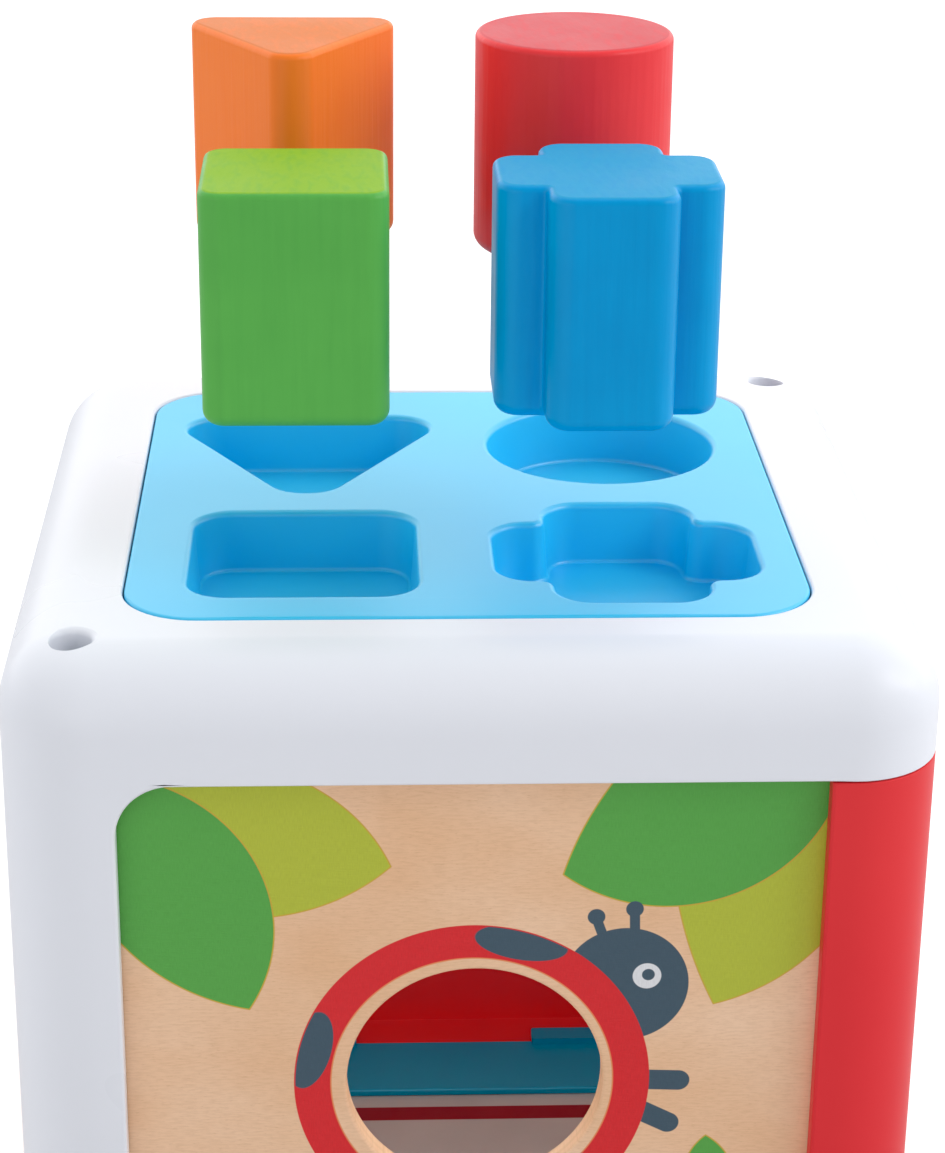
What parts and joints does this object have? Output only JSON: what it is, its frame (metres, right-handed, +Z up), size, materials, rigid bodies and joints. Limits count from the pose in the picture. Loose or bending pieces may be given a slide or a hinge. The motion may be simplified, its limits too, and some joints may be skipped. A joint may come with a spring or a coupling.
{
  "type": "shape sorter",
  "caption": "Toddler's shape sorter cube: half frames in moulded plastic, plywood sides, a pocketed tray on top and wooden blocks above their pockets.",
  "frame": {"origin": "centre of the base, where the cube rests", "axes": "+Z up, front (the side with the round hole) towards -Y, +X to the right of someone facing the front"},
  "size_m": [0.2, 0.2, 0.3025],
  "materials": {
    "white_plastic": "glossy moulded white with soft edges",
    "red_plastic": "glossy moulded red",
    "sky_blue_plastic": "satin moulded light blue",
    "deep_blue_plastic": "satin moulded blue",
    "painted_board": "pale painted board with a dark red line",
    "plywood": "clear-coated plywood with a fine straight grain and printed leaves",
    "green_paint": "satin green paint over fine grain",
    "blue_paint": "satin blue paint over fine grain",
    "red_paint": "satin red paint over fine grain",
    "orange_paint": "satin orange paint over fine grain",
    "screw_steel": "zinc-plated"
  },
  "bodies": {
    "cube": {"white_frame": "white_plastic", "red_frame": "red_plastic", "sorter_tray": "sky_blue_plastic", "base_tray": "deep_blue_plastic", "floor_panel": "painted_board", "front_panel": "plywood", "back_panel": "plywood", "left_panel": "plywood", "right_panel": "plywood", "frame_screw_front_left": "screw_steel", "frame_screw_back_right": "screw_steel", "frame_screw_front_right": "screw_steel", "frame_screw_back_left": "screw_steel", "sorter_tray_screw_front_left": "screw_steel", "sorter_tray_screw_front_right": "screw_steel", "sorter_tray_screw_back_left": "screw_steel", "sorter_tray_screw_back_right": "screw_steel", "base_tray_screw_front_left": "screw_steel", "base_tray_screw_front_right": "screw_steel", "base_tray_screw_back_left": "screw_steel", "base_tray_screw_back_right": "screw_steel"},
    "square_piece": {"square_block": "green_paint"},
    "cross_piece": {"cross_block": "blue_paint"},
    "round_piece": {"round_block": "red_paint"},
    "triangle_piece": {"triangle_block": "orange_paint"}
  },
  "joints": [
    {"name": "square_lift", "type": "slide", "parent": "cube", "child": "square_piece", "axis": [-0.0199, 0, 0.9998], "range_m": [-0.05021, 0]},
    {"name": "cross_lift", "type": "slide", "parent": "cube", "child": "cross_piece", "axis": [-0.1226, 0, 0.9925], "range_m": [-0.05058, 0]},
    {"name": "round_lift", "type": "slide", "parent": "cube", "child": "round_piece", "axis": [-0.1293, 0, 0.9916], "range_m": [-0.06575, 0]},
    {"name": "triangle_lift", "type": "slide", "parent": "cube", "child": "triangle_piece", "axis": [-0.0398, 0, 0.9992], "range_m": [-0.06525, 0]}
  ]
}
